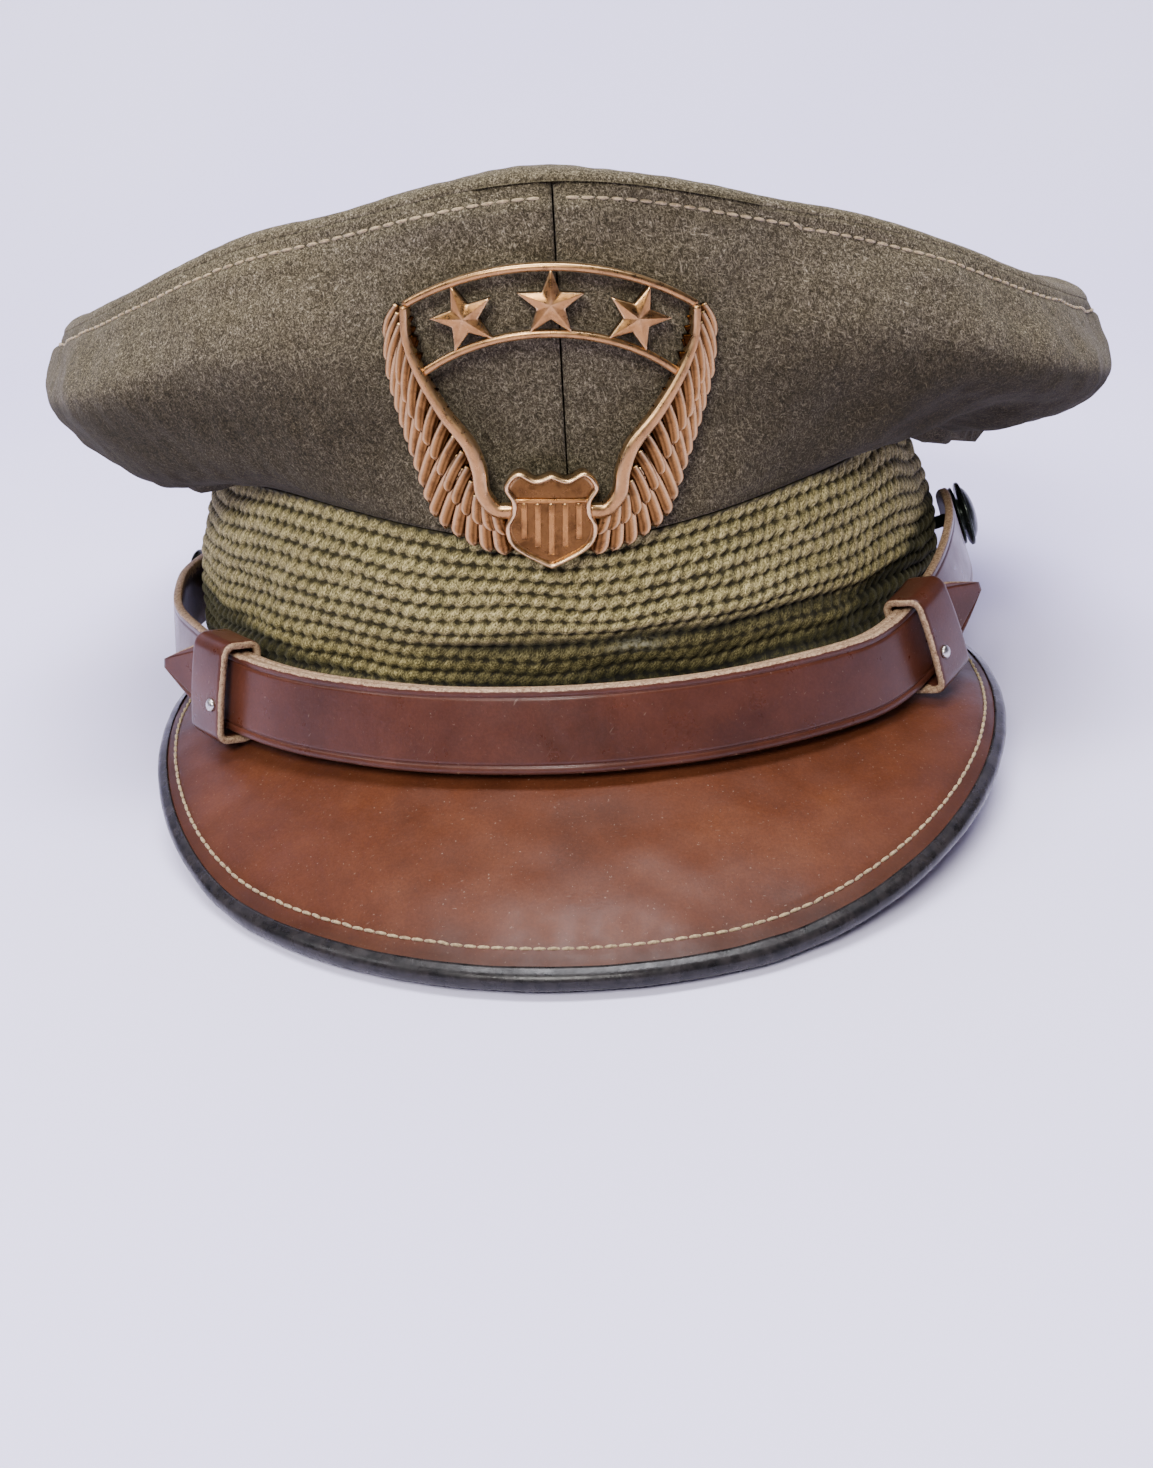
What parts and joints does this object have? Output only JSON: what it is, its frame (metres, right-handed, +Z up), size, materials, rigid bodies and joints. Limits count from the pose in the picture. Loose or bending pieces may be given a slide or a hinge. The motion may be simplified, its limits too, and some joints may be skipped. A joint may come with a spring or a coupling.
{
  "type": "peaked cap",
  "caption": "Soft-topped uniform peaked cap with a braid band, bound leather peak, front strap with keepers, side buttons and a pierced winged badge.",
  "frame": {"origin": "centre of the base of the box round the cap as it rests on its peak's edge and the back of its band", "axes": "+X towards the wearer's left, -Y the front of the peak, +Z up"},
  "size_m": [0.2456, 0.3058, 0.1309],
  "materials": {
    "wool": "matte",
    "braid": "matte",
    "peak_leather": "satin",
    "strap_leather": "satin",
    "black_binding": "gloss",
    "dark_metal": "gloss",
    "bronze": "satin",
    "steel": "satin"
  },
  "bodies": {
    "root": {"crown_top": "wool", "crown_side_right": "wool", "crown_side_left": "wool", "band": "braid", "peak": "peak_leather", "peak_binding": "black_binding", "strap_inner": "strap_leather", "strap_outer": "strap_leather", "keeper_right": "strap_leather", "keeper_left": "strap_leather", "rivet_right": "steel", "rivet_left": "steel", "button_right": "dark_metal", "button_left": "dark_metal", "badge": "bronze", "badge_screw": "steel", "vent_eyelet": "dark_metal"}
  },
  "joints": []
}
